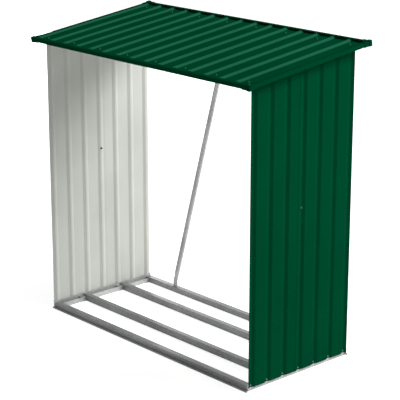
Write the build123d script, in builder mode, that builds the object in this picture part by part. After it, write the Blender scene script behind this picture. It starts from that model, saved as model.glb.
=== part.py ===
"""Pressed-steel log store, an open frame with two ribbed walls and a ribbed pent roof.

Millimetres, +Z up. The open front faces -Y and the roof rises to the rear, +Y.
The origin is on the ground at the middle of the base.
"""

import os
from math import atan, cos, radians, sin, tan

from build123d import *

# Roof position
roof_height = 1713.0  # underside of the roof sheets at the middle of the depth
roof_slope = 7.54  # degrees
side_overhang = 54.0
end_overhang = 53.0

# Ribbed sheet, the same on the walls and the roof
sheet_t = 0.8
rib_pitch = 119.0
rib_depth = 9.0
rib_crest = 10.0
rib_flank = 17.0
sheet_bend = 4.0
lap_gap = 0.2
lap_flat = 8.0
lap_step = 10.0
wall_pitches = 6
roof_pitches = 15
wall_edge = 0.3  # flat left outside the last bend of a wall
wall_setback = 11.7  # from a wall's end to the front of the base
roof_edge = 1.5  # part of the last rib's crest left outside its middle line
roof_margin = 16.5  # from the last rib's middle line to the side trim's face
wall_bottom = 21.0
wall_top_gap = 2.0

# Folded rails
rail_t = 1.2
rail_bend = 2.0
rail_lip = 9.0
rail_foot = 15.0
end_rail_height = 34.0
end_rail_ledge = 13.0
end_rail_box = 36.0
side_rail_box = 28.0
side_rail_web = 46.0  # height of the outer web, which carries the wall
side_rail_rim = 30.0  # height of the inner web, which carries the floor beams

# Floor beams
beam_rise = 9.0  # above the side rails' inner webs
beam_width = 34.0
beam_spread = 292.0  # between the middle lines of the two beams
beam_foot = 9.0
beam_tab = 36.0  # length of the tabs that are folded out over the side rails
fit_gap = 0.3

# Roof frame
top_rail_web = 42.0
top_rail_flange = 26.0
top_rail_lip = 10.0
roof_beam_web = 36.0
front_beam_flange = 30.0
rear_beam_flange = 20.0
roof_beam_lip = 9.0

# Edge trims and their corner caps
trim_t = 0.8
trim_flange = 24.0
trim_return = 16.0
trim_drop = 12.0
trim_clear = 2.0  # from a sheet's end to the inside of its trim
cap_wall = 1.6
cap_leg = 58.0
cap_gap = 0.2
cap_knob = 26.0  # width of the knob on a cap's corner
cap_proud = 3.0  # from a cap's faces to its knob's
cap_drop = 2.0  # from a cap's floor down to its knob's
cap_round = 6.0
cap_edge = 1.2

# Rear braces, tubes crimped flat at both ends
brace_inset = 11.0  # from the rear rail's inner face
brace_foot_x = 570.0
brace_head_x = 94.0
brace_tube = 30.0
brace_wall = 1.5
brace_tab_width = 36.0
brace_tab_t = 3.0
brace_tab_length = 38.0
brace_crimp = 55.0
brace_foot_depth = 22.0

# Places worked out from the sizes above, where a half is measured from the middle of the part
rib_angle = atan(rib_depth / rib_flank)
rib_half = rib_crest / 2 + rib_flank
bend_reach = sheet_bend * tan(rib_angle / 2)  # from a rib's corner to the end of its bend
wall_half = wall_pitches * rib_pitch / 2 + rib_half + bend_reach + wall_edge
base_half_depth = wall_half + wall_setback
roof_half_width = roof_pitches * rib_pitch / 2 + roof_margin
wall_face = roof_half_width - side_overhang
web_face = wall_face - rib_depth - sheet_t
side_rail_inner = web_face - side_rail_box
side_rail_end = wall_half + fit_gap
beam_height = side_rail_rim + beam_rise
end_rail_web = base_half_depth - end_rail_ledge
end_rail_inner = end_rail_web - end_rail_box
brace_y = end_rail_inner + brace_inset
slope = radians(roof_slope)
roof_half_length = (base_half_depth + end_overhang) / cos(slope)
sheet_half_length = roof_half_length - trim_t - trim_clear
rib_top = sheet_t + rib_depth
lap_lift = sheet_t + lap_gap

roof_plane = Plane(origin=(0, 0, roof_height), x_dir=(1, 0, 0), z_dir=(0, -sin(slope), cos(slope)))
slope_section = Plane(origin=(0, 0, roof_height), x_dir=(1, 0, 0), z_dir=(0, -cos(slope), -sin(slope)))
right_wall_plane = Plane(origin=(wall_face, 0, wall_bottom), x_dir=(0, 1, 0), z_dir=(0, 0, 1))
level_section = Plane(origin=(0, 0, 0), x_dir=(0, 1, 0), z_dir=(1, 0, 0))


def roof_z(y):
    """Height of the roof sheets' underside over y."""
    return roof_height + y * tan(slope)


def folded_section(points, thickness, bend, side=Side.LEFT):
    """Section of a strip that is folded along points, with its thickness on one side of them."""
    with BuildSketch() as section:
        with BuildLine():
            FilletPolyline(*points, radius=bend)
            offset(amount=thickness, side=side)
        make_face()
    return section.sketch


def rib_bends(centre, lift=0.0):
    """The four bends of one rib, widened where it nests over the rib below it."""
    crest = rib_crest / 2 + lift * tan(rib_angle / 2)
    foot = crest + rib_flank
    return [
        (centre - foot, lift),
        (centre - crest, lift + rib_depth),
        (centre + crest, lift + rib_depth),
        (centre + foot, lift),
    ]


def lap_start(centre, lift):
    """The first bends of a sheet that nests over its neighbour's rib and steps back down."""
    landing = centre + rib_half + lap_flat
    edge = [(centre - rib_half - lap_flat, lift)]
    return edge + rib_bends(centre, lift) + [(landing, lift), (landing + lap_step, 0.0)]


def export(builder, name):
    builder.part.label = name
    export_step(builder.part, f"parts/{name}.step")


os.makedirs("parts", exist_ok=True)

# Front and rear base rails: an outer lip, a ledge, a web, a top, an inner web and a foot
end_section = Plane(origin=(0, -base_half_depth, 0), x_dir=(0, 1, 0), z_dir=(1, 0, 0))
end_rail_points = [
    (end_rail_ledge + end_rail_box - rail_foot, 0.0),
    (end_rail_ledge + end_rail_box, 0.0),
    (end_rail_ledge + end_rail_box, end_rail_height),
    (end_rail_ledge, end_rail_height),
    (end_rail_ledge, rail_lip),
    (0.0, rail_lip),
    (0.0, 0.0),
]
# Each end is cut back to the side rail's web, and above the ledge also round that web's end tab
end_cuts = ((-end_rail_web, -rail_t), (-side_rail_end - rail_t - fit_gap, rail_lip))
with BuildPart() as front_base_rail:
    with BuildSketch(end_section):
        add(folded_section(end_rail_points, rail_t, rail_bend))
    extrude(amount=wall_face, both=True)
    for cut_front, cut_bottom in end_cuts:
        with BuildSketch(Plane.XY.offset(cut_bottom)):
            for side in (-1, 1):
                with Locations((side * wall_face, cut_front)):
                    Rectangle(
                        2 * (wall_face - web_face + rail_t),
                        rail_t - end_rail_inner - cut_front,
                        align=(Align.CENTER, Align.MIN),
                    )
        extrude(amount=2 * end_rail_height, mode=Mode.SUBTRACT)
export(front_base_rail, "front_base_rail")

with BuildPart() as rear_base_rail:
    mirror(front_base_rail.part, about=Plane.XZ)
export(rear_base_rail, "rear_base_rail")

# Side base rails: open channels whose outer web is the taller one. It runs on past the boxes of
# the end rails, and its end is folded outwards in front of the wall
side_section = Plane(origin=(web_face, 0, 0), x_dir=(-1, 0, 0), z_dir=(0, 1, 0))
side_rail_points = [
    (0.0, side_rail_web),
    (0.0, 0.0),
    (side_rail_box, 0.0),
    (side_rail_box, side_rail_rim),
]
end_tab_points = [(web_face, end_rail_inner), (web_face, side_rail_end), (wall_face, side_rail_end)]
with BuildPart() as right_base_rail:
    with BuildSketch(side_section):
        add(folded_section(side_rail_points, rail_t, rail_bend))
    extrude(amount=end_rail_web)
    with BuildSketch(Plane.XY.offset(-rail_t)):
        with Locations((web_face - rail_t, end_rail_inner)):
            Rectangle(side_rail_box, 2 * end_rail_box, align=(Align.MAX, Align.MIN))
    extrude(amount=2 * side_rail_web, mode=Mode.SUBTRACT)
    with BuildSketch(Plane.XY.offset(rail_lip)):
        add(folded_section(end_tab_points, rail_t, rail_bend))
    extrude(amount=side_rail_web - rail_lip)
    mirror(about=Plane.XZ)
export(right_base_rail, "right_base_rail")

with BuildPart() as left_base_rail:
    mirror(right_base_rail.part, about=Plane.YZ)
export(left_base_rail, "left_base_rail")

# Floor beams: their flanges are notched over the side rails' inner webs, on which they lie. What is
# cut free of the front flange is folded out as a tab
beam_half_length = web_face - rail_t - fit_gap
beam_notch = beam_half_length - side_rail_inner + fit_gap
beam_points = [
    (-beam_width / 2 + beam_foot, 0.0),
    (-beam_width / 2, 0.0),
    (-beam_width / 2, beam_height),
    (beam_width / 2, beam_height),
    (beam_width / 2, 0.0),
    (beam_width / 2 - beam_foot, 0.0),
]
beam_tab_points = [
    (-beam_width / 2, beam_height - rail_bend - rail_t),
    (-beam_width / 2, side_rail_rim + rail_t),
    (-beam_width / 2 - beam_tab, side_rail_rim + rail_t),
]
for name, middle in (("front_floor_beam", -beam_spread / 2), ("rear_floor_beam", beam_spread / 2)):
    with BuildPart() as floor_beam:
        with BuildSketch(Plane(origin=(0, middle, 0), x_dir=(0, 1, 0), z_dir=(1, 0, 0))):
            add(folded_section(beam_points, rail_t, rail_bend, Side.RIGHT))
        extrude(amount=beam_half_length, both=True)
        with BuildSketch(Plane.XY.offset(-rail_t)):
            for end in (-1, 1):
                with Locations((end * (beam_half_length - beam_notch / 2), middle)):
                    Rectangle(beam_notch, 2 * beam_width)
        extrude(amount=side_rail_rim + rail_t, mode=Mode.SUBTRACT)
        for tab_start in (-beam_half_length, beam_half_length - beam_notch):
            with BuildSketch(Plane(origin=(tab_start, middle, 0), x_dir=(0, 1, 0), z_dir=(1, 0, 0))):
                add(folded_section(beam_tab_points, rail_t, rail_bend))
            extrude(amount=beam_notch)
    export(floor_beam, name)

# Wall sheets: the outer face of the flats is on the wall face and the grooves reach the rails
wall_ribs = [(index - wall_pitches / 2) * rib_pitch for index in range(wall_pitches + 1)]
front_ribs = [y for y in wall_ribs if y <= 0]
rear_ribs = [y for y in wall_ribs if y > 0]
front_sheet_points = [(-wall_half, 0.0)]
for y in front_ribs:
    front_sheet_points += rib_bends(y)
front_sheet_points.append((rib_half + lap_flat, 0.0))
rear_sheet_points = lap_start(0.0, -lap_lift)
for y in rear_ribs:
    rear_sheet_points += rib_bends(y)
rear_sheet_points.append((wall_half, 0.0))
wall_top_plane = roof_plane.offset(-wall_top_gap)
wall_blank = roof_height + 2 * base_half_depth * tan(slope)


def wall_sheet(points):
    """Right wall's sheet, cut along the slope of the roof."""
    with BuildPart() as sheet:
        with BuildSketch(right_wall_plane):
            add(folded_section(points, sheet_t, sheet_bend))
        extrude(amount=wall_blank)
        split(bisect_by=wall_top_plane, keep=Keep.BOTTOM)
    return sheet


for place, points in (("front", front_sheet_points), ("rear", rear_sheet_points)):
    right_sheet = wall_sheet(points)
    export(right_sheet, f"right_wall_{place}_sheet")
    with BuildPart() as left_sheet:
        mirror(right_sheet.part, about=Plane.YZ)
    export(left_sheet, f"left_wall_{place}_sheet")

# Roof beams: webs upright, top flanges tilted to the roof
front_beam_web = -wall_half
rear_beam_web = brace_y + brace_tab_t / 2


def roof_beam_points(web, flange):
    """Section of a beam whose web's front face is at web and whose flanges point to the rear."""
    edge = web + flange
    return [
        (edge, roof_z(edge) - roof_beam_lip),
        (edge, roof_z(edge)),
        (web, roof_z(web)),
        (web, roof_z(web) - roof_beam_web),
        (edge, roof_z(web) - roof_beam_web),
        (edge, roof_z(web) - roof_beam_web + roof_beam_lip),
    ]


for name, web, flange in (
    ("front_roof_beam", front_beam_web, front_beam_flange),
    ("rear_roof_beam", rear_beam_web, rear_beam_flange),
):
    with BuildPart() as roof_beam:
        with BuildSketch(level_section):
            add(folded_section(roof_beam_points(web, flange), rail_t, rail_bend))
        extrude(amount=web_face, both=True)
    export(roof_beam, name)

# Top rails: inside the wall grooves, from one roof beam to the other
top_rail_points = [
    (web_face, -top_rail_web),
    (web_face, 0.0),
    (web_face - top_rail_flange, 0.0),
    (web_face - top_rail_flange, -top_rail_lip),
]
with BuildPart() as right_top_rail:
    with BuildSketch(slope_section):
        add(folded_section(top_rail_points, rail_t, rail_bend))
    extrude(amount=roof_half_length, both=True)
    split(bisect_by=Plane.XZ.offset(-(front_beam_web + front_beam_flange + fit_gap)), keep=Keep.BOTTOM)
    split(bisect_by=Plane.XZ.offset(-(rear_beam_web - fit_gap)), keep=Keep.TOP)
export(right_top_rail, "right_top_rail")

with BuildPart() as left_top_rail:
    mirror(right_top_rail.part, about=Plane.YZ)
export(left_top_rail, "left_top_rail")

# Roof sheets: ribs up, the outer sheets nested over the middle sheet's end ribs
roof_ribs = [(index - roof_pitches / 2) * rib_pitch for index in range(roof_pitches + 1)]
seam_rib = roof_ribs[2 * roof_pitches // 3]
middle_ribs = [x for x in roof_ribs if abs(x) <= seam_rib]
outer_ribs = [x for x in roof_ribs if seam_rib < x < roof_ribs[-1]]
middle_points = [(-seam_rib - rib_half - lap_flat, 0.0)]
for x in middle_ribs:
    middle_points += rib_bends(x)
middle_points.append((seam_rib + rib_half + lap_flat, 0.0))
outer_points = lap_start(seam_rib, lap_lift)
for x in outer_ribs:
    outer_points += rib_bends(x)
outer_points += rib_bends(roof_ribs[-1])[:2]
outer_points.append((roof_ribs[-1] + roof_edge, rib_depth))

with BuildPart() as middle_roof_sheet:
    with BuildSketch(slope_section):
        add(folded_section(middle_points, sheet_t, sheet_bend))
    extrude(amount=sheet_half_length, both=True)
export(middle_roof_sheet, "middle_roof_sheet")

with BuildPart() as right_roof_sheet:
    with BuildSketch(slope_section):
        add(folded_section(outer_points, sheet_t, sheet_bend))
    extrude(amount=sheet_half_length, both=True)
export(right_roof_sheet, "right_roof_sheet")

with BuildPart() as left_roof_sheet:
    mirror(right_roof_sheet.part, about=Plane.YZ)
export(left_roof_sheet, "left_roof_sheet")

# Edge trims: the flange lies on the ribs and the face covers the sheets' edges
trim_top = rib_top + lap_lift + trim_t


def trim_points(edge):
    """Section of a trim in the roof's own directions, with its outer face at edge."""
    return [
        (edge - trim_flange, trim_top),
        (edge, trim_top),
        (edge, -trim_drop),
        (edge - trim_return, -trim_drop),
    ]


across_section = Plane(origin=(0, 0, roof_height), x_dir=(0, cos(slope), sin(slope)), z_dir=(1, 0, 0))
across_roof = Plane(origin=roof_plane.origin, x_dir=(1, 0, 0), z_dir=slope_section.z_dir)
with BuildPart() as rear_roof_trim:
    with BuildSketch(across_section):
        add(folded_section(trim_points(roof_half_length), trim_t, rail_bend, Side.RIGHT))
    extrude(amount=roof_half_width, both=True)
export(rear_roof_trim, "rear_roof_trim")

with BuildPart() as front_roof_trim:
    mirror(rear_roof_trim.part, about=across_roof)
export(front_roof_trim, "front_roof_trim")

with BuildPart() as right_roof_trim:
    with BuildSketch(slope_section):
        add(folded_section(trim_points(roof_half_width), trim_t, rail_bend, Side.RIGHT))
    extrude(amount=roof_half_length - trim_flange - fit_gap, both=True)
export(right_roof_trim, "right_roof_trim")

with BuildPart() as left_roof_trim:
    mirror(right_roof_trim.part, about=Plane.YZ)
export(left_roof_trim, "left_roof_trim")

# Corner caps: moulded shells open to the two trims that end in them, with a knob on the corner
cap_x = roof_half_width + cap_gap + cap_wall
cap_y = roof_half_length + cap_gap + cap_wall
cap_floor = -trim_drop - cap_gap - cap_wall
cap_height = trim_top + cap_gap + cap_wall - cap_floor
cap_opening = cap_leg - trim_flange - cap_wall
knob_middle = cap_proud - cap_knob / 2
with BuildPart() as rear_right_cap:
    with BuildSketch(roof_plane.offset(cap_floor)):
        with Locations((cap_x, cap_y)):
            Rectangle(cap_leg, cap_leg, align=(Align.MAX, Align.MAX))
    extrude(amount=cap_height)
    with BuildSketch(roof_plane.offset(cap_floor - cap_drop)):
        with Locations((cap_x + knob_middle, cap_y + knob_middle)):
            RectangleRounded(cap_knob, cap_knob, cap_round)
    extrude(amount=cap_height + cap_drop + cap_proud)
    knob_ends = rear_right_cap.faces().sort_by(Axis(roof_plane.origin, roof_plane.z_dir))
    fillet(knob_ends[0].edges() + knob_ends[-1].edges(), cap_edge)
    with BuildSketch(roof_plane.offset(cap_floor + cap_wall)):
        with Locations((cap_x - cap_wall, cap_y - cap_wall)):
            Rectangle(cap_leg, cap_leg, align=(Align.MAX, Align.MAX))
    extrude(amount=cap_height - 2 * cap_wall, mode=Mode.SUBTRACT)
    with BuildSketch(roof_plane.offset(cap_floor)):
        with Locations((cap_x - cap_leg, cap_y - cap_leg)):
            Rectangle(2 * cap_opening, 2 * cap_opening)
    extrude(amount=cap_height, mode=Mode.SUBTRACT)
export(rear_right_cap, "rear_right_cap")

with BuildPart() as rear_left_cap:
    mirror(rear_right_cap.part, about=Plane.YZ)
export(rear_left_cap, "rear_left_cap")

for name, rear_cap in (("front_right_cap", rear_right_cap), ("front_left_cap", rear_left_cap)):
    with BuildPart() as front_cap:
        mirror(rear_cap.part, about=across_roof)
    export(front_cap, name)

# Rear braces: a tube whose crimped ends stand upright on the base rail and on the roof beam
brace_foot_z = end_rail_height + brace_tab_t
brace_head_z = roof_z(rear_beam_web) - rail_t - fit_gap
foot_bend = Vector(-brace_foot_x, brace_y, brace_foot_z + brace_tab_length)
head_bend = Vector(-brace_head_x, brace_y, brace_head_z - brace_tab_length)
brace_line = (head_bend - foot_bend).normalized()
tube_start = foot_bend + brace_line * brace_crimp
tube_end = head_bend - brace_line * brace_crimp
tube_plane = Plane(origin=tube_start, x_dir=(0, 1, 0), z_dir=brace_line)
tube_end_plane = Plane(origin=tube_end, x_dir=(0, 1, 0), z_dir=brace_line)
with BuildPart() as left_rear_brace:
    with BuildSketch(tube_plane):
        Circle(brace_tube / 2)
        Circle(brace_tube / 2 - brace_wall, mode=Mode.SUBTRACT)
    extrude(amount=(tube_end - tube_start).length)
    for bend, crimp_plane, reach in (
        (foot_bend, tube_plane, -brace_tab_length),
        (head_bend, tube_end_plane, brace_tab_length),
    ):
        tab_plane = Plane(origin=bend, x_dir=(0, 1, 0), z_dir=(0, 0, 1))
        with BuildSketch(tab_plane):
            Rectangle(brace_tab_t, brace_tab_width)
        with BuildSketch(crimp_plane):
            Circle(brace_tube / 2)
        loft()
        with BuildSketch(tab_plane):
            Rectangle(brace_tab_t, brace_tab_width)
        extrude(amount=reach)
    with BuildSketch(Plane.XY.offset(end_rail_height)):
        with Locations((-brace_foot_x, brace_y - brace_tab_t / 2 + brace_foot_depth / 2)):
            Rectangle(brace_tab_width, brace_foot_depth)
    extrude(amount=brace_tab_t)
export(left_rear_brace, "left_rear_brace")

with BuildPart() as right_rear_brace:
    mirror(left_rear_brace.part, about=Plane.YZ)
export(right_rear_brace, "right_rear_brace")
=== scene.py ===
"""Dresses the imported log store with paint, zinc, moulded caps and fasteners, and sets its stage.

Metres, +Z up. The open front faces -Y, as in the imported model.
"""

from math import cos, radians, sin, tan

import bmesh
import bpy
from bpy.props import FloatProperty, FloatVectorProperty, PointerProperty
from mathutils import Matrix, Vector


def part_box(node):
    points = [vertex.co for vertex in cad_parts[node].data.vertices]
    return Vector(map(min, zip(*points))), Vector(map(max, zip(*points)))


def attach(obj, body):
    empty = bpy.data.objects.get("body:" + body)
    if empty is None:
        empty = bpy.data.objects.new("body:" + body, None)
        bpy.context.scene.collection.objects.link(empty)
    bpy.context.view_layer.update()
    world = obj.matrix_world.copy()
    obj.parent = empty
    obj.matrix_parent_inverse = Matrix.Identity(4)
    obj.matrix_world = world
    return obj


bl_info = {
    "name": "Log store",
    "version": (1, 0, 0),
    "blender": (4, 5, 0),
    "location": "View3D > Sidebar > Log store",
    "description": "Paint, zinc, caps, fasteners and stage for the packed log store",
    "category": "Object",
}

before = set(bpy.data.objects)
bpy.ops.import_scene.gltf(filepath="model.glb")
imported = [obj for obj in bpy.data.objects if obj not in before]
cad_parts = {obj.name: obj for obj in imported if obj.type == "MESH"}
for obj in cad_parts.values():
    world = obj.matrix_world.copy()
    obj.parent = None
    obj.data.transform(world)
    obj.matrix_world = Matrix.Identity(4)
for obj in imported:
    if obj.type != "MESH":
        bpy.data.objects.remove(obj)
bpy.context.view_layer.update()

WALL_SHEETS = [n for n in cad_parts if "_wall_" in n]
ROOF_SHEETS = [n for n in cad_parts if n.endswith("_roof_sheet")]
ROOF_TRIMS = [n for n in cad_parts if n.endswith("_roof_trim")]
ROOF_CAPS = [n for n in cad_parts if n.endswith("_cap")]
BRACES = [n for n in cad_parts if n.endswith("_brace")]
RAILS = [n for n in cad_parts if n.endswith(("_rail", "_beam"))]
SIDES = {"left": -1, "right": 1}

# Where the fasteners stand, counted in rib pitches from the middle of a wall or of the roof
WALL_GROOVES = range(-3, 4)
ROOF_FLATS = range(-7, 8, 2)

# How the hexagons are left turned, in radians
WALL_SCREW_TURN = 0.4  # from groove to groove
ROOF_SCREW_TURN = 0.7  # from pitch to pitch
BRACE_HEAD_TURN = 0.3
BRACE_FOOT_TURN = 0.2

# How far a fastener reaches into what it sits on, in metres, so that no gap shows
HEAD_ROOT = 0.0005
WASHER_ROOT = 0.0003
HEAD_IN_WASHER = 0.0001
PROBE_HEIGHT = 0.1  # above a cap, where the search for its screw's seat starts

# Shares of a flanged head's radius or height
FLANGE_HEIGHT = 0.22
FLANGE_TOP = 0.86
FLANGE_ROUND = 0.12
HEXAGON_RADIUS = 0.74
HEXAGON_FOOT = 0.1
HEXAGON_CHAMFER = 0.16
HEXAGON_CROWN = 0.08
HEXAGON_ROUND = 0.06

# Shares of a domed head's radius and height, from the rim to the middle
DOME_RIM = 0.35
DOME_RINGS = ((0.93, 0.62), (0.76, 0.84), (0.45, 0.97), (0.15, 1.0))

WASHER_TOP = 0.94  # of a washer's radius
ROUND_SIDES = 24
BEVEL_STEPS = 2
SHARP_ANGLE = 35  # degrees, above which an edge gets a bevel or stays sharp
DOME_ANGLE = 50  # degrees, above which a dome's edge stays sharp

# Finding faces
LOOKS_UP = 0.9  # least upward share of the normal of a face on top
SAME_LEVEL = 1e-5
NEAR_AXIS = 0.1  # of the radius

# Coats
NOISE_RANGE = (0.3, 0.7)  # where nearly all of a noise's values lie
WEATHER_LIMIT = -0.3  # a cut edge keeps the weather coat until it looks this far inwards
FLANK_LEAN = (0.1, 0.45)  # sideways lean at which the painted flank highlight begins and is full
COAT_BUMP = 0.0002

# Zinc, whose noises are drawn out along a piece by these shares
DRAWN_X = (0.02, 1, 1)
DRAWN_Y = (1, 0.02, 1)
DRAWN_Z = (1, 1, 0.02)
NOT_DRAWN = (1, 1, 1)
PATCH_DRAW = 0.25

# Stage
WHITE = (1, 1, 1, 1)
FLOOR_SIZE = 60
FLOOR_COLOUR = (0.85, 0.85, 0.85, 1)
FLOOR_GLOW = 0.75  # added to the floor that the camera and the reflections see
WORLD_LIGHT = 0.25  # lights the store from all sides
WORLD_SEEN = 1.0
LAMP_AIM = (0, 0, 0.9)
LAMPS = (
    # name, place, side in metres, power in watts
    ("Key", (8.4, 7.3, 10.0), 6.0, 1950),
    ("Fill", (-9.0, 4.5, 1.8), 4.0, 380),
)
CAMERA_PLACE = (5.983, -5.345, 3.171)
CAMERA_PITCH = 16.486  # degrees below level
CAMERA_TURN = 47.973  # degrees from +Y towards -X
FOCAL_PIXELS = 1466.5
FRAME_PIXELS = 400
SENSOR_WIDTH = 36  # millimetres
VIEW_REACH = 200


def paint(red, green, blue):
    """Scene-linear colour of a paint that is known by its screen values."""
    channels = (value / 255 for value in (red, green, blue))
    return tuple(c / 12.92 if c < 0.04045 else ((c + 0.055) / 1.055) ** 2.4 for c in channels)


# Sizes and colours that a user would change


class StoreFinish(bpy.types.PropertyGroup):
    """Colours and grain of the store's finishes"""

    sheet_green: FloatVectorProperty(
        name="Sheet green",
        description="Weather side of the ribbed sheets",
        subtype="COLOR",
        size=3,
        min=0,
        max=1,
        default=paint(0, 72, 44),
    )
    # Painted highlight: a lighter green on the flanks of the roof's ribs, where the lamps light
    # them
    flank_highlight: FloatVectorProperty(
        name="Flank green",
        description="Weather side on the flanks of the roof's ribs, where the coat is stretched",
        subtype="COLOR",
        size=3,
        min=0,
        max=1,
        default=paint(30, 100, 72),
    )
    sheet_lining: FloatVectorProperty(
        name="Sheet lining",
        description="Back coat on the inside of the ribbed sheets",
        subtype="COLOR",
        size=3,
        min=0,
        max=1,
        default=paint(214, 216, 210),
    )
    trim_green: FloatVectorProperty(
        name="Trim green",
        description="Folded edge trims of the roof",
        subtype="COLOR",
        size=3,
        min=0,
        max=1,
        default=paint(0, 66, 40),
    )
    cap_green: FloatVectorProperty(
        name="Cap green",
        description="Moulded caps on the roof's corners",
        subtype="COLOR",
        size=3,
        min=0,
        max=1,
        default=paint(0, 62, 38),
    )
    # Painted highlight: the heads are painted paler than the sheets, standing in for the glint
    # that small heads catch
    screw_highlight_green: FloatVectorProperty(
        name="Screw green",
        description="Painted heads of the roof, cap and seam fasteners, paler than the sheets",
        subtype="COLOR",
        size=3,
        min=0,
        max=1,
        default=paint(66, 118, 92),
    )
    zinc: FloatVectorProperty(
        name="Zinc",
        description="Galvanised rails and beams from wall to wall, and the walls' screws",
        subtype="COLOR",
        size=3,
        min=0,
        max=1,
        default=paint(140, 141, 142),
    )
    # Painted light: a lighter copy of the zinc for the rails along the walls, which stand lit, and
    # for the braces and their bolts, partly also the paler zinc of their tubes
    lit_zinc: FloatVectorProperty(
        name="Bright zinc",
        description="Galvanised braces and their bolts, and the rails along the walls",
        subtype="COLOR",
        size=3,
        min=0,
        max=1,
        default=paint(190, 191, 190),
    )
    rubber: FloatVectorProperty(
        name="Rubber",
        description="Seals under the seam bolts, and the coat on their nuts",
        subtype="COLOR",
        size=3,
        min=0,
        max=1,
        default=paint(38, 40, 39),
    )
    spangle: FloatProperty(
        name="Spangle",
        description="Size of the zinc crystals",
        unit="LENGTH",
        default=0.012,
        min=0.002,
    )
    peel: FloatProperty(
        name="Orange peel",
        description="Size of the ripples in the paint",
        unit="LENGTH",
        default=0.0025,
        min=0.0005,
    )


class StoreSizes(bpy.types.PropertyGroup):
    """Sizes of the store that place the fasteners"""

    sheet_thickness: FloatProperty(
        name="Sheet thickness",
        description="Thickness of the ribbed sheets",
        unit="LENGTH",
        default=0.0008,
    )
    rib_pitch: FloatProperty(
        name="Rib pitch",
        description="From rib to rib of the walls and the roof",
        unit="LENGTH",
        default=0.119,
    )
    rib_depth: FloatProperty(
        name="Rib depth",
        description="Depth of a rib over its outer faces",
        unit="LENGTH",
        default=0.009,
    )
    lap_lift: FloatProperty(
        name="Lap lift",
        description="How far the upper sheet of a lap stands off the lower one",
        unit="LENGTH",
        default=0.001,
    )
    roof_height: FloatProperty(
        name="Roof height",
        description="Underside of the roof sheets at the middle of the depth",
        unit="LENGTH",
        default=1.713,
    )
    roof_slope: FloatProperty(
        name="Roof slope",
        description="Pitch of the roof",
        unit="ROTATION",
        default=radians(7.54),
    )
    foot_screw_height: FloatProperty(
        name="Foot screw height",
        description="Wall screws above the ground",
        unit="LENGTH",
        default=0.033,
    )
    seam_bolt_height: FloatProperty(
        name="Seam bolt height",
        description="Bolt through the walls' laps above the ground",
        unit="LENGTH",
        default=0.940,
    )
    rear_screw_line: FloatProperty(
        name="Rear screw line",
        description="Roof screws behind the middle of the roof",
        unit="LENGTH",
        default=0.360,
    )
    front_screw_line: FloatProperty(
        name="Front screw line",
        description="Roof screws before the middle of the roof",
        unit="LENGTH",
        default=0.378,
    )
    cap_screw_inset: FloatProperty(
        name="Cap screw inset",
        description="From a cap's outer faces to the screw on its knob",
        unit="LENGTH",
        default=0.0145,
    )
    brace_tube: FloatProperty(
        name="Brace tube",
        description="Diameter of the braces' tubes",
        unit="LENGTH",
        default=0.030,
    )
    brace_tab_width: FloatProperty(
        name="Brace tab width",
        description="Width of the braces' flat ends",
        unit="LENGTH",
        default=0.036,
    )
    brace_tab_length: FloatProperty(
        name="Brace tab length",
        description="Length of the braces' flat ends",
        unit="LENGTH",
        default=0.038,
    )
    brace_tab_thickness: FloatProperty(
        name="Brace tab thickness",
        description="Thickness of the braces' flat ends",
        unit="LENGTH",
        default=0.003,
    )
    brace_bolt_inset: FloatProperty(
        name="Brace bolt inset",
        description="From the free edge of a brace's foot to its bolt",
        unit="LENGTH",
        default=0.0095,
    )


class StoreFasteners(bpy.types.PropertyGroup):
    """Sizes of the fasteners"""

    wall_screw_radius: FloatProperty(
        name="Wall screw radius",
        description="Radius of the wall screws' heads over the flange",
        unit="LENGTH",
        default=0.0045,
    )
    wall_screw_rise: FloatProperty(
        name="Wall screw rise",
        description="Height of the wall screws' heads",
        unit="LENGTH",
        default=0.004,
    )
    roof_screw_radius: FloatProperty(
        name="Roof screw radius",
        description="Radius of the roof screws' heads over the flange",
        unit="LENGTH",
        default=0.005,
    )
    roof_screw_rise: FloatProperty(
        name="Roof screw rise",
        description="Height of the roof screws' heads",
        unit="LENGTH",
        default=0.0045,
    )
    roof_washer_radius: FloatProperty(
        name="Roof washer radius",
        description="Radius of the washers under the roof screws",
        unit="LENGTH",
        default=0.0058,
    )
    roof_washer_rise: FloatProperty(
        name="Roof washer rise",
        description="Height of the washers under the roof screws",
        unit="LENGTH",
        default=0.0014,
    )
    cap_screw_radius: FloatProperty(
        name="Cap screw radius",
        description="Radius of the cap screws' heads",
        unit="LENGTH",
        default=0.0045,
    )
    cap_screw_rise: FloatProperty(
        name="Cap screw rise",
        description="Height of the cap screws' heads",
        unit="LENGTH",
        default=0.0009,
    )
    seam_bolt_radius: FloatProperty(
        name="Seam bolt radius",
        description="Radius of the seam bolts' heads",
        unit="LENGTH",
        default=0.0064,
    )
    seam_bolt_rise: FloatProperty(
        name="Seam bolt rise",
        description="Height of the seam bolts' heads",
        unit="LENGTH",
        default=0.004,
    )
    seam_seal_radius: FloatProperty(
        name="Seam seal radius",
        description="Radius of the seals under the seam bolts",
        unit="LENGTH",
        default=0.0088,
    )
    seam_seal_rise: FloatProperty(
        name="Seam seal rise",
        description="Height of the seals under the seam bolts",
        unit="LENGTH",
        default=0.0012,
    )
    seam_nut_radius: FloatProperty(
        name="Seam nut radius",
        description="Radius of the seam bolts' nuts over the flange",
        unit="LENGTH",
        default=0.0065,
    )
    seam_nut_rise: FloatProperty(
        name="Seam nut rise",
        description="Height of the seam bolts' nuts",
        unit="LENGTH",
        default=0.0055,
    )
    brace_bolt_radius: FloatProperty(
        name="Brace bolt radius",
        description="Radius of the brace bolts' heads over the flange",
        unit="LENGTH",
        default=0.0075,
    )
    brace_bolt_rise: FloatProperty(
        name="Brace bolt rise",
        description="Height of the brace bolts' heads",
        unit="LENGTH",
        default=0.006,
    )


# Finishes


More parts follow.
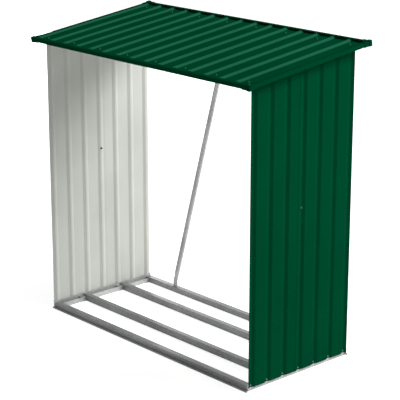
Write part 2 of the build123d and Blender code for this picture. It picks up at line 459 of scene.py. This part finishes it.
def new_material(name):
    """A new material with its nodes and links and the principled shader that feeds its output."""
    material = bpy.data.materials.new(name)
    material.use_nodes = True
    nodes = material.node_tree.nodes
    nodes.clear()
    shader = nodes.new("ShaderNodeBsdfPrincipled")
    output = nodes.new("ShaderNodeOutputMaterial")
    material.node_tree.links.new(shader.outputs["BSDF"], output.inputs["Surface"])
    return material, nodes, material.node_tree.links, shader


def object_noise(nodes, links, scale, detail=2.0, stretch=NOT_DRAWN):
    """Noise over the object coordinates, drawn out along the axes by the shares in stretch."""
    place = nodes.new("ShaderNodeTexCoord")
    mapping = nodes.new("ShaderNodeMapping")
    mapping.inputs["Scale"].default_value = stretch
    noise = nodes.new("ShaderNodeTexNoise")
    noise.inputs["Scale"].default_value = scale
    noise.inputs["Detail"].default_value = detail
    links.new(place.outputs["Object"], mapping.inputs["Vector"])
    links.new(mapping.outputs["Vector"], noise.inputs["Vector"])
    return noise.outputs["Fac"]


def spread(nodes, links, value, low, high):
    """Maps a noise's values to low..high."""
    ramp = nodes.new("ShaderNodeMapRange")
    ramp.inputs["From Min"].default_value, ramp.inputs["From Max"].default_value = NOISE_RANGE
    ramp.inputs["To Min"].default_value = low
    ramp.inputs["To Max"].default_value = high
    links.new(value, ramp.inputs["Value"])
    return ramp.outputs["Result"]


def shade(nodes, links, colour, value):
    """A colour, given as a socket or as numbers, times a value."""
    scale = nodes.new("ShaderNodeVectorMath")
    scale.operation = "SCALE"
    if isinstance(colour, bpy.types.NodeSocket):
        links.new(colour, scale.inputs[0])
    else:
        scale.inputs[0].default_value = colour
    links.new(value, scale.inputs["Scale"])
    return scale.outputs["Vector"]


def mix(nodes, links, factor, first, second):
    """A colour between two, each given as a socket or as numbers."""
    blend = nodes.new("ShaderNodeMix")
    blend.data_type = "RGBA"
    links.new(factor, blend.inputs["Factor"])
    for socket, colour in ((blend.inputs["A"], first), (blend.inputs["B"], second)):
        if isinstance(colour, bpy.types.NodeSocket):
            links.new(colour, socket)
        else:
            socket.default_value = (*colour, 1)
    return blend.outputs["Result"]


def ripple(nodes, links, shader, height, strength, distance=COAT_BUMP):
    """Feeds a height to the shader's normal."""
    bump = nodes.new("ShaderNodeBump")
    bump.inputs["Strength"].default_value = strength
    bump.inputs["Distance"].default_value = distance
    links.new(height, bump.inputs["Height"])
    links.new(bump.outputs["Normal"], shader.inputs["Normal"])


def coated_sheet(name, finish, outward, flank_highlight):
    """Coil-coated steel, green on the weather side and pale on the other.

    outward makes a value that is above zero on the weather side. The last argument is
    the lighter green painted on the ribs' flanks as a painted highlight.
    """
    material, nodes, links, shader = new_material(name)
    side = nodes.new("ShaderNodeMath")
    side.operation = "GREATER_THAN"
    side.inputs[1].default_value = WEATHER_LIMIT
    links.new(outward(nodes, links), side.inputs[0])
    # The flanks get the lighter green, a painted highlight
    green = mix(nodes, links, highlighted(nodes, links), finish.sheet_green, flank_highlight)
    coat = mix(nodes, links, side.outputs["Value"], finish.sheet_lining, green)
    cloud = object_noise(nodes, links, scale=3.0, detail=3.0)
    dullness = object_noise(nodes, links, scale=60.0)
    peel = object_noise(nodes, links, scale=1 / finish.peel)
    links.new(
        shade(nodes, links, coat, spread(nodes, links, cloud, low=0.95, high=1.05)),
        shader.inputs["Base Color"],
    )
    links.new(spread(nodes, links, dullness, low=0.6, high=0.7), shader.inputs["Roughness"])
    shader.inputs["Specular IOR Level"].default_value = 0.0
    ripple(nodes, links, shader, peel, strength=0.12)
    return material


def highlighted(nodes, links):
    """Painted highlight mask: zero on flats and crests, and one on the flanks of the roof's ribs.
    """
    facing = nodes.new("ShaderNodeNewGeometry")
    axes = nodes.new("ShaderNodeSeparateXYZ")
    lean = nodes.new("ShaderNodeMath")
    lean.operation = "ABSOLUTE"
    gain = nodes.new("ShaderNodeMapRange")
    gain.inputs["From Min"].default_value, gain.inputs["From Max"].default_value = FLANK_LEAN
    links.new(facing.outputs["Normal"], axes.inputs["Vector"])
    links.new(axes.outputs["X"], lean.inputs[0])
    links.new(lean.outputs["Value"], gain.inputs["Value"])
    return gain.outputs["Result"]


def wall_outward(nodes, links):
    """Above zero where a wall's face looks away from the middle of the store."""
    place = nodes.new("ShaderNodeTexCoord")
    place_axes = nodes.new("ShaderNodeSeparateXYZ")
    facing = nodes.new("ShaderNodeNewGeometry")
    facing_axes = nodes.new("ShaderNodeSeparateXYZ")
    flank = nodes.new("ShaderNodeMath")
    flank.operation = "SIGN"
    product = nodes.new("ShaderNodeMath")
    product.operation = "MULTIPLY"
    links.new(place.outputs["Object"], place_axes.inputs["Vector"])
    links.new(facing.outputs["True Normal"], facing_axes.inputs["Vector"])
    links.new(place_axes.outputs["X"], flank.inputs[0])
    links.new(flank.outputs["Value"], product.inputs[0])
    links.new(facing_axes.outputs["X"], product.inputs[1])
    return product.outputs["Value"]


def roof_upward(nodes, links):
    """Above zero where a roof's face looks up."""
    facing = nodes.new("ShaderNodeNewGeometry")
    axes = nodes.new("ShaderNodeSeparateXYZ")
    links.new(facing.outputs["True Normal"], axes.inputs["Vector"])
    return axes.outputs["Z"]


def painted_metal(name, colour, peel_size):
    """Painted steel, the same on both sides."""
    material, nodes, links, shader = new_material(name)
    cloud = object_noise(nodes, links, scale=4.0, detail=3.0)
    dullness = object_noise(nodes, links, scale=70.0)
    peel = object_noise(nodes, links, scale=1 / peel_size)
    links.new(
        shade(nodes, links, colour, spread(nodes, links, cloud, low=0.94, high=1.06)),
        shader.inputs["Base Color"],
    )
    links.new(spread(nodes, links, dullness, low=0.5, high=0.6), shader.inputs["Roughness"])
    shader.inputs["Specular IOR Level"].default_value = 0.0
    ripple(nodes, links, shader, peel, strength=0.12)
    return material


def galvanised(name, colour, spangle, drawn):
    """Hot-dip zinc with soft spangle, dull patches and faint drawing lines along the piece."""
    material, nodes, links, shader = new_material(name)
    place = nodes.new("ShaderNodeTexCoord")
    crystal = nodes.new("ShaderNodeTexVoronoi")
    crystal.inputs["Scale"].default_value = 1 / spangle
    crystal.inputs["Randomness"].default_value = 0.9
    links.new(place.outputs["Object"], crystal.inputs["Vector"])
    facet = nodes.new("ShaderNodeSeparateColor")
    links.new(crystal.outputs["Color"], facet.inputs["Color"])
    lines = object_noise(nodes, links, scale=400.0, stretch=drawn)
    patch_run = tuple(share if share == 1 else PATCH_DRAW for share in drawn)
    patches = object_noise(nodes, links, scale=9.0, detail=3.0, stretch=patch_run)
    crystals = spread(nodes, links, facet.outputs["Red"], low=0.93, high=1.06)
    tone = shade(nodes, links, colour, crystals)
    tone = shade(nodes, links, tone, spread(nodes, links, lines, low=0.96, high=1.03))
    tone = shade(nodes, links, tone, spread(nodes, links, patches, low=0.8, high=1.22))
    links.new(tone, shader.inputs["Base Color"])
    links.new(spread(nodes, links, patches, low=0.42, high=0.30), shader.inputs["Roughness"])
    shader.inputs["Metallic"].default_value = 0.25
    shader.inputs["Specular IOR Level"].default_value = 0.2
    ripple(nodes, links, shader, lines, strength=0.1)
    return material


def moulded_plastic(name, colour):
    """Finely grained moulded plastic."""
    material, nodes, links, shader = new_material(name)
    grain = object_noise(nodes, links, scale=900.0)
    links.new(
        shade(nodes, links, colour, spread(nodes, links, grain, low=0.9, high=1.1)),
        shader.inputs["Base Color"],
    )
    links.new(spread(nodes, links, grain, low=0.45, high=0.6), shader.inputs["Roughness"])
    shader.inputs["Specular IOR Level"].default_value = 0.0
    ripple(nodes, links, shader, grain, strength=0.25, distance=0.0003)
    return material


def rubber(name, colour):
    """Rubber of a bolt's seal and of the coat on its nut."""
    material, nodes, links, shader = new_material(name)
    grain = object_noise(nodes, links, scale=600.0)
    links.new(
        shade(nodes, links, colour, spread(nodes, links, grain, low=0.85, high=1.1)),
        shader.inputs["Base Color"],
    )
    links.new(spread(nodes, links, grain, low=0.6, high=0.8), shader.inputs["Roughness"])
    shader.inputs["Specular IOR Level"].default_value = 0.05
    return material


def dress(names, material):
    """Gives CAD nodes a material."""
    for name in names:
        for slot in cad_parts[name].material_slots:
            slot.material = material


# Modelling


def pick(*pieces):
    """Leaves only these pieces selected, with the first of them active."""
    bpy.ops.object.select_all(action="DESELECT")
    for piece in pieces:
        piece.select_set(True)
    bpy.context.view_layer.objects.active = pieces[0]


def edit(piece):
    """Opens a piece in edit mode, as the only one that is selected."""
    pick(piece)
    bpy.ops.object.mode_set(mode="EDIT")


def pick_faces(piece, test):
    """Selects the faces whose middle and normal pass a test, in edit mode."""
    bpy.ops.mesh.select_mode(type="FACE")
    bpy.ops.mesh.select_all(action="DESELECT")
    shape = bmesh.from_edit_mesh(piece.data)
    for face in shape.faces:
        face.select_set(test(face.calc_center_median(), face.normal))
    bmesh.update_edit_mesh(piece.data)


def start_cylinder(name, sides, radius, low, high):
    """A cylinder on the Z axis from low to high, as a new piece."""
    bpy.ops.object.select_all(action="DESELECT")
    bpy.ops.mesh.primitive_cylinder_add(
        vertices=sides,
        radius=radius,
        depth=high - low,
        location=(0, 0, (low + high) / 2),
    )
    piece = bpy.context.object
    piece.name = name
    piece.data.name = name
    bpy.ops.object.transform_apply(location=True, rotation=True, scale=True)
    return piece


def top_face(height):
    """Test for faces that look up at a height."""
    return lambda middle, normal: normal.z > LOOKS_UP and abs(middle.z - height) < SAME_LEVEL


def middle_face(radius):
    """Test for the face that looks up from the middle of a head."""
    return lambda middle, normal: normal.z > LOOKS_UP and middle.xy.length < NEAR_AXIS * radius


def widen(piece, test, factor):
    """Scales the picked faces about the Z axis."""
    edit(piece)
    pick_faces(piece, test)
    bpy.ops.transform.resize(
        value=(factor, factor, 1), center_override=(0, 0, 0), orient_type="GLOBAL"
    )
    bpy.ops.object.mode_set(mode="OBJECT")


def round_edges(piece, width):
    """Finishes a piece's sharp edges with a bevel."""
    bevel = piece.modifiers.new("Rounded edges", "BEVEL")
    bevel.width = width
    bevel.segments = BEVEL_STEPS
    bevel.limit_method = "ANGLE"
    bevel.angle_limit = radians(SHARP_ANGLE)
    pick(piece)
    bpy.ops.object.modifier_apply(modifier=bevel.name)


def join(pieces, name):
    """Joins pieces into the first of them."""
    pick(*pieces)
    if len(pieces) > 1:
        bpy.ops.object.join()
    joined = bpy.context.view_layer.objects.active
    joined.name = name
    joined.data.name = name
    return joined


def smooth(piece, angle=SHARP_ANGLE):
    """Shades a piece smooth, apart from its edges over an angle in degrees."""
    pick(piece)
    bpy.ops.object.shade_smooth_by_angle(angle=radians(angle))


def flanged_head(radius, height):
    """A hexagon head with a pressed flange, on the origin with its head up."""
    flange = start_cylinder("flange", ROUND_SIDES, radius, -HEAD_ROOT, FLANGE_HEIGHT * height)
    widen(flange, top_face(FLANGE_HEIGHT * height), FLANGE_TOP)
    round_edges(flange, FLANGE_ROUND * height)
    hexagon = start_cylinder("hexagon", 6, HEXAGON_RADIUS * radius, HEXAGON_FOOT * height, height)
    edit(hexagon)
    pick_faces(hexagon, top_face(height))
    bpy.ops.mesh.inset(thickness=HEXAGON_CHAMFER * radius, depth=0)
    pick_faces(hexagon, middle_face(radius))
    bpy.ops.transform.translate(value=(0, 0, HEXAGON_CROWN * height))
    bpy.ops.object.mode_set(mode="OBJECT")
    round_edges(hexagon, HEXAGON_ROUND * height)
    head = join([flange, hexagon], "flanged_head")
    smooth(head)
    return head


def domed_head(radius, height):
    """A smooth mushroom head, on the origin with its dome up."""
    head = start_cylinder("domed_head", ROUND_SIDES, radius, -HEAD_ROOT, DOME_RIM * height)
    edit(head)
    reach, level = 1.0, DOME_RIM
    for share, rise in DOME_RINGS:
        pick_faces(head, top_face(level * height))
        bpy.ops.mesh.inset(thickness=(reach - share) * radius, depth=0)
        pick_faces(head, middle_face(share * radius))
        bpy.ops.transform.translate(value=(0, 0, (rise - level) * height))
        reach, level = share, rise
    bpy.ops.object.mode_set(mode="OBJECT")
    smooth(head, DOME_ANGLE)
    return head


def flat_ring(name, radius, height):
    """A washer or a seal whose rim slopes in a little, on the origin with its top up."""
    ring = start_cylinder(name, ROUND_SIDES, radius, -WASHER_ROOT, height)
    widen(ring, top_face(height), WASHER_TOP)
    smooth(ring)
    return ring


def copy_at(piece, matrix):
    """A copy of a piece with its own mesh and with its place in that mesh."""
    copy = piece.copy()
    copy.data = piece.data.copy()
    copy.data.transform(matrix)
    bpy.context.collection.objects.link(copy)
    return copy


def fasten(pattern, matrices, name, material):
    """Copies a fastener to each place and joins the copies into one piece."""
    piece = join([copy_at(pattern, matrix) for matrix in matrices], name)
    piece.data.materials.clear()
    piece.data.materials.append(material)
    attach(piece, "root")


def discard(*patterns):
    """Removes the fasteners that the copies were made from."""
    for pattern in patterns:
        bpy.data.objects.remove(pattern)


def facing(direction, point, turn=0.0):
    """Matrix that takes a fastener's axis to direction and its seat to point."""
    aim = Vector(direction).to_track_quat("Z", "Y").to_matrix().to_4x4()
    return Matrix.Translation(point) @ aim @ Matrix.Rotation(turn, 4, "Z")


# Operators


class LOGSTORE_OT_coat_sheets(bpy.types.Operator):
    """Coat the ribbed walls and roof, green outside and pale inside"""

    bl_idname = "log_store.coat_sheets"
    bl_label = "Coat sheets"

    def execute(self, context):
        finish = context.scene.store_finish
        dress(WALL_SHEETS, coated_sheet("wall_coating", finish, wall_outward, finish.sheet_green))
        dress(ROOF_SHEETS, coated_sheet("roof_coating_and_flank_highlight", finish, roof_upward, finish.flank_highlight))
        return {"FINISHED"}


class LOGSTORE_OT_paint_trims(bpy.types.Operator):
    """Paint the roof's folded edge trims and its moulded corner caps"""

    bl_idname = "log_store.paint_trims"
    bl_label = "Paint trims and caps"

    def execute(self, context):
        finish = context.scene.store_finish
        dress(ROOF_TRIMS, painted_metal("trim_paint", finish.trim_green, finish.peel))
        dress(ROOF_CAPS, moulded_plastic("cap_plastic", finish.cap_green))
        return {"FINISHED"}


class LOGSTORE_OT_galvanise_frame(bpy.types.Operator):
    """Give the rails, beams and braces their zinc"""

    bl_idname = "log_store.galvanise_frame"
    bl_label = "Galvanise frame"

    def execute(self, context):
        finish = context.scene.store_finish
        across = [n for n in RAILS if not n.startswith(("left", "right"))]
        deep = [n for n in RAILS if n.startswith(("left", "right"))]
        dress(across, galvanised("zinc_across", finish.zinc, finish.spangle, DRAWN_X))
        # Painted light: the rails along the walls and the braces take the lighter copy of the zinc
        dress(deep, galvanised("lit_zinc_deep", finish.lit_zinc, finish.spangle, DRAWN_Y))
        dress(BRACES, galvanised("lit_zinc_brace", finish.lit_zinc, finish.spangle, DRAWN_Z))
        return {"FINISHED"}


class LOGSTORE_OT_fit_wall_screws(bpy.types.Operator):
    """Screw the walls' grooves to the base rails and bolt the walls' laps"""

    bl_idname = "log_store.fit_wall_screws"
    bl_label = "Fit wall screws"

    def execute(self, context):
        sizes = context.scene.store_sizes
        parts = context.scene.store_fasteners
        finish = context.scene.store_finish
        wall_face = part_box("right_wall_front_sheet")[1].x
        groove = wall_face - sizes.rib_depth
        lap = groove + sizes.lap_lift
        zinc = galvanised("zinc_fasteners", finish.zinc, finish.spangle, NOT_DRAWN)
        # The seam bolts' paler paint is a painted highlight
        green = painted_metal("bolt_paint_highlight", finish.screw_highlight_green, finish.peel)
        dark_rubber = rubber("dark_rubber", finish.rubber)
        screw = flanged_head(parts.wall_screw_radius, parts.wall_screw_rise)
        bolt = domed_head(parts.seam_bolt_radius, parts.seam_bolt_rise)
        seal = flat_ring("seal", parts.seam_seal_radius, parts.seam_seal_rise)
        nut = flanged_head(parts.seam_nut_radius, parts.seam_nut_rise)
        for name, side in SIDES.items():
            places = []
            for index in WALL_GROOVES:
                seat = lap if index == 0 else groove
                spot = Vector((side * seat, index * sizes.rib_pitch, sizes.foot_screw_height))
                places.append(facing((side, 0, 0), spot, WALL_SCREW_TURN * index))
            fasten(screw, places, f"{name}_wall_screws", zinc)
            spot = Vector((side * lap, 0, sizes.seam_bolt_height))
            place = [facing((side, 0, 0), spot)]
            fasten(seal, place, f"{name}_seam_seal", dark_rubber)
            fasten(bolt, place, f"{name}_seam_bolt", green)
            inside = groove - sizes.sheet_thickness
            spot = Vector((side * inside, 0, sizes.seam_bolt_height))
            place = [facing((-side, 0, 0), spot)]
            fasten(nut, place, f"{name}_seam_nut", dark_rubber)
        discard(screw, bolt, seal, nut)
        return {"FINISHED"}


class LOGSTORE_OT_fit_roof_screws(bpy.types.Operator):
    """Screw the roof's flats to its beams and the corner caps to its trims"""

    bl_idname = "log_store.fit_roof_screws"
    bl_label = "Fit roof screws"

    def execute(self, context):
        sizes = context.scene.store_sizes
        parts = context.scene.store_fasteners
        finish = context.scene.store_finish
        # The roof and cap screws' paler paint is a painted highlight
        green = painted_metal("roof_screw_paint_highlight", finish.screw_highlight_green, finish.peel)
        head = flanged_head(parts.roof_screw_radius, parts.roof_screw_rise)
        washer = flat_ring("washer", parts.roof_washer_radius, parts.roof_washer_rise)
        up = Vector((0, -sin(sizes.roof_slope), cos(sizes.roof_slope)))
        on_washer = parts.roof_washer_rise - HEAD_IN_WASHER
        seats, heads = [], []
        for along in (-sizes.front_screw_line, sizes.rear_screw_line):
            underside = sizes.roof_height + along * tan(sizes.roof_slope)
            for index in ROOF_FLATS:
                base = Vector((index * sizes.rib_pitch, along, underside))
                base += up * sizes.sheet_thickness
                seats.append(facing(up, base))
                turn = ROOF_SCREW_TURN * index + along
                heads.append(facing(up, base + up * on_washer, turn))
        fasten(washer, seats, "roof_screw_washers", green)
        fasten(head, heads, "roof_screws", green)
        pan = domed_head(parts.cap_screw_radius, parts.cap_screw_rise)
        knobs = [self.cap_seat(name, sizes.cap_screw_inset) for name in ROOF_CAPS]
        fasten(pan, knobs, "cap_screws", green)
        discard(washer, head, pan)
        return {"FINISHED"}

    def cap_seat(self, name, inset):
        """Matrix of the screw on the middle of a cap's knob."""
        low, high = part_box(name)
        x = high.x - inset if high.x > 0 else low.x + inset
        y = high.y - inset if high.y > 0 else low.y + inset
        above = Vector((x, y, high.z + PROBE_HEIGHT))
        found, seat, normal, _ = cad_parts[name].ray_cast(above, Vector((0, 0, -1)))
        if not found:
            raise RuntimeError(f"no knob under the screw of {name}")
        return facing(normal, seat)


class LOGSTORE_OT_fit_brace_bolts(bpy.types.Operator):
    """Bolt the braces' flat ends to the rear roof beam and the rear base rail"""

    bl_idname = "log_store.fit_brace_bolts"
    bl_label = "Fit brace bolts"

    def execute(self, context):
        sizes = context.scene.store_sizes
        parts = context.scene.store_fasteners
        finish = context.scene.store_finish
        # The brace bolts take the lighter copy of the zinc, as painted light
        zinc = galvanised("lit_zinc_bolts", finish.lit_zinc, finish.spangle, NOT_DRAWN)
        bolt = flanged_head(parts.brace_bolt_radius, parts.brace_bolt_rise)
        for name, side in SIDES.items():
            low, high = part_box(f"{name}_rear_brace")
            foot = side * (max(abs(low.x), abs(high.x)) - sizes.brace_tab_width / 2)
            head = side * (min(abs(low.x), abs(high.x)) + sizes.brace_tab_width / 2)
            tab_face = low.y + (sizes.brace_tube - sizes.brace_tab_thickness) / 2
            tab_middle = high.z - sizes.brace_tab_length / 2
            foot_top = low.z + sizes.brace_tab_thickness
            head_spot = Vector((head, tab_face, tab_middle))
            foot_spot = Vector((foot, high.y - sizes.brace_bolt_inset, foot_top))
            places = [
                facing((0, -1, 0), head_spot, BRACE_HEAD_TURN),
                facing((0, 0, 1), foot_spot, BRACE_FOOT_TURN),
            ]
            fasten(bolt, places, f"{name}_brace_bolts", zinc)
        discard(bolt)
        return {"FINISHED"}


class LOGSTORE_OT_set_stage(bpy.types.Operator):
    """Lay the floor, hang the lamps and place the camera"""

    bl_idname = "log_store.set_stage"
    bl_label = "Set stage"

    def execute(self, context):
        scene = context.scene
        self.lay_floor()
        self.light_world(scene)
        for lamp in LAMPS:
            self.hang_lamp(*lamp)
        self.place_camera(scene)
        scene.view_settings.view_transform = "Standard"
        return {"FINISHED"}

    def lay_floor(self):
        """A pale sheet that looks white and keeps the store's shadow."""
        bpy.ops.object.select_all(action="DESELECT")
        bpy.ops.mesh.primitive_plane_add(size=FLOOR_SIZE, location=(0, 0, 0))
        floor = bpy.context.object
        floor.name = "floor"
        material = bpy.data.materials.new("floor_paper")
        material.use_nodes = True
        nodes, links = material.node_tree.nodes, material.node_tree.links
        nodes.clear()
        output = nodes.new("ShaderNodeOutputMaterial")
        seen = self.seen_rays(nodes, links)
        paper = nodes.new("ShaderNodeBsdfDiffuse")
        paper.inputs["Color"].default_value = FLOOR_COLOUR
        glow = nodes.new("ShaderNodeEmission")
        glow.inputs["Color"].default_value = WHITE
        glow.inputs["Strength"].default_value = FLOOR_GLOW
        pale = nodes.new("ShaderNodeAddShader")
        pick = nodes.new("ShaderNodeMixShader")
        links.new(paper.outputs["BSDF"], pale.inputs[0])
        links.new(glow.outputs["Emission"], pale.inputs[1])
        links.new(seen, pick.inputs[0])
        links.new(paper.outputs["BSDF"], pick.inputs[1])
        links.new(pale.outputs["Shader"], pick.inputs[2])
        links.new(pick.outputs["Shader"], output.inputs["Surface"])
        floor.data.materials.append(material)

    def seen_rays(self, nodes, links):
        """One on camera, glossy and transmission rays, and zero on the rays that light."""
        path = nodes.new("ShaderNodeLightPath")
        first = nodes.new("ShaderNodeMath")
        first.operation = "MAXIMUM"
        second = nodes.new("ShaderNodeMath")
        second.operation = "MAXIMUM"
        links.new(path.outputs["Is Camera Ray"], first.inputs[0])
        links.new(path.outputs["Is Glossy Ray"], first.inputs[1])
        links.new(first.outputs["Value"], second.inputs[0])
        links.new(path.outputs["Is Transmission Ray"], second.inputs[1])
        return second.outputs["Value"]

    def light_world(self, scene):
        """A background that looks white and lights the store softly."""
        world = bpy.data.worlds.new("plain_studio")
        world.use_nodes = True
        scene.world = world
        nodes, links = world.node_tree.nodes, world.node_tree.links
        nodes.clear()
        output = nodes.new("ShaderNodeOutputWorld")
        seen = self.seen_rays(nodes, links)
        dim = nodes.new("ShaderNodeBackground")
        dim.inputs["Color"].default_value = WHITE
        dim.inputs["Strength"].default_value = WORLD_LIGHT
        white = nodes.new("ShaderNodeBackground")
        white.inputs["Color"].default_value = WHITE
        white.inputs["Strength"].default_value = WORLD_SEEN
        pick = nodes.new("ShaderNodeMixShader")
        links.new(seen, pick.inputs[0])
        links.new(dim.outputs["Background"], pick.inputs[1])
        links.new(white.outputs["Background"], pick.inputs[2])
        links.new(pick.outputs["Shader"], output.inputs["Surface"])

    def hang_lamp(self, name, place, size, power):
        """A soft square lamp that is aimed at the middle of the store."""
        bpy.ops.object.light_add(type="AREA", location=place)
        lamp = bpy.context.object
        lamp.name = name
        lamp.data.shape = "SQUARE"
        lamp.data.size = size
        lamp.data.energy = power
        aim = Vector(LAMP_AIM) - Vector(place)
        lamp.rotation_euler = aim.to_track_quat("-Z", "Y").to_euler()

    def place_camera(self, scene):
        """The camera at the photograph's angle."""
        bpy.ops.object.camera_add(
            location=CAMERA_PLACE,
            rotation=(radians(90 - CAMERA_PITCH), 0, radians(CAMERA_TURN)),
        )
        camera = bpy.context.object
        camera.name = "Camera"
        camera.data.sensor_width = SENSOR_WIDTH
        camera.data.lens = SENSOR_WIDTH * FOCAL_PIXELS / FRAME_PIXELS
        camera.data.clip_end = VIEW_REACH
        scene.camera = camera


class LOGSTORE_PT_sidebar(bpy.types.Panel):
    """Lists the steps that dress the log store"""

    bl_label = "Log store"
    bl_idname = "LOGSTORE_PT_sidebar"
    bl_space_type = "VIEW_3D"
    bl_region_type = "UI"
    bl_category = "Log store"

    def draw(self, context):
        for step in STEPS:
            self.layout.operator(step.bl_idname)
        scene = context.scene
        for group in (scene.store_finish, scene.store_sizes, scene.store_fasteners):
            for name in group.__annotations__:
                self.layout.prop(group, name)


STEPS = (
    LOGSTORE_OT_coat_sheets,
    LOGSTORE_OT_paint_trims,
    LOGSTORE_OT_galvanise_frame,
    LOGSTORE_OT_fit_wall_screws,
    LOGSTORE_OT_fit_roof_screws,
    LOGSTORE_OT_fit_brace_bolts,
    LOGSTORE_OT_set_stage,
)
CLASSES = (StoreFinish, StoreSizes, StoreFasteners, *STEPS, LOGSTORE_PT_sidebar)


def register():
    for item in CLASSES:
        bpy.utils.register_class(item)
    bpy.types.Scene.store_finish = PointerProperty(type=StoreFinish)
    bpy.types.Scene.store_sizes = PointerProperty(type=StoreSizes)
    bpy.types.Scene.store_fasteners = PointerProperty(type=StoreFasteners)


def unregister():
    del bpy.types.Scene.store_fasteners
    del bpy.types.Scene.store_sizes
    del bpy.types.Scene.store_finish
    for item in reversed(CLASSES):
        bpy.utils.unregister_class(item)


def main():
    register()
    for step in STEPS:
        prefix, action = step.bl_idname.split(".")
        getattr(getattr(bpy.ops, prefix), action)()


if __name__ == "__main__":
    main()
